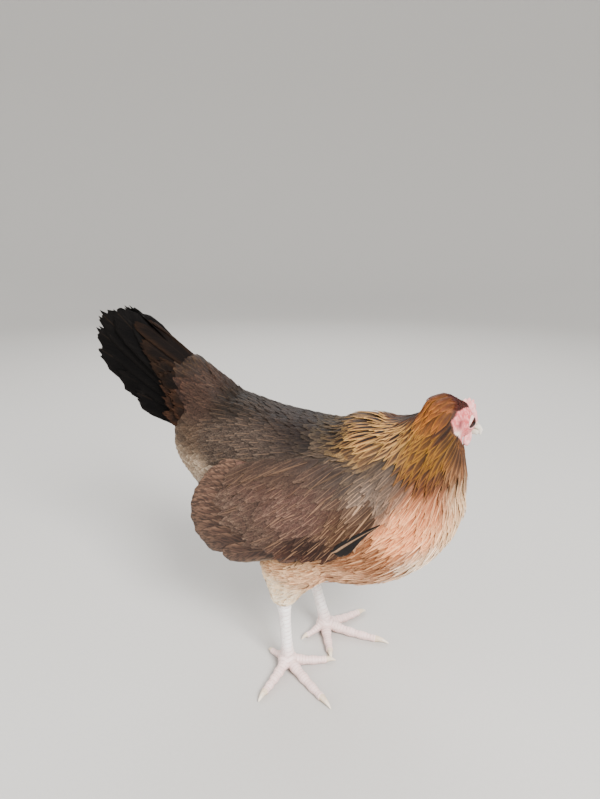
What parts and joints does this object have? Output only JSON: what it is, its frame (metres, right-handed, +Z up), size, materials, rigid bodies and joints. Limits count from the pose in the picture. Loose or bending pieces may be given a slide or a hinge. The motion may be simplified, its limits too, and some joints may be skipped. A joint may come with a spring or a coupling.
{
  "type": "old english game hen",
  "caption": "Life-size still model of a large game hen, wheaten-brown and black-tailed, standing with her head turned to her left.",
  "frame": {"origin": "on the floor, under the middle of the hen's whole outline", "axes": "+X the way her body faces, +Y her left side, +Z up"},
  "size_m": [0.329, 0.1488, 0.3029],
  "materials": {
    "body_feathers": "matt barbed feathers, salmon breast, buff belly and grey-brown back",
    "hackle_feathers": "silky gold neck feathers with dark streaks",
    "wing_feathers": "matt brown feathers with pale edges and fine peppering",
    "tail_feathers": "dull black feathers with a slight sheen",
    "face_skin": "bare pink skin, finely wrinkled",
    "comb_skin": "bare pale pink skin, finely grained",
    "leg_scales": "satin white-pink scales",
    "bill_horn": "smooth pale horn, satin",
    "claw_horn": "smooth pale horn, satin",
    "eye": "wet dark eye, high gloss"
  },
  "bodies": {
    "root": {"beak_lower": "bill_horn", "beak_upper": "bill_horn", "claw_hind_left": "claw_horn", "claw_hind_right": "claw_horn", "claw_inner_left": "claw_horn", "claw_inner_right": "claw_horn", "claw_middle_left": "claw_horn", "claw_middle_right": "claw_horn", "claw_outer_left": "claw_horn", "claw_outer_right": "claw_horn", "comb": "comb_skin", "earlobe_left": "comb_skin", "earlobe_right": "comb_skin", "eye_left": "eye", "eye_right": "eye", "foot_left": "leg_scales", "foot_right": "leg_scales", "head": "face_skin", "neck": "hackle_feathers", "shank_left": "leg_scales", "shank_right": "leg_scales", "tail": "tail_feathers", "thigh_left": "body_feathers", "thigh_right": "body_feathers", "torso": "body_feathers", "wattle_left": "comb_skin", "wattle_right": "comb_skin", "wing_left": "wing_feathers", "wing_right": "wing_feathers"}
  },
  "joints": []
}
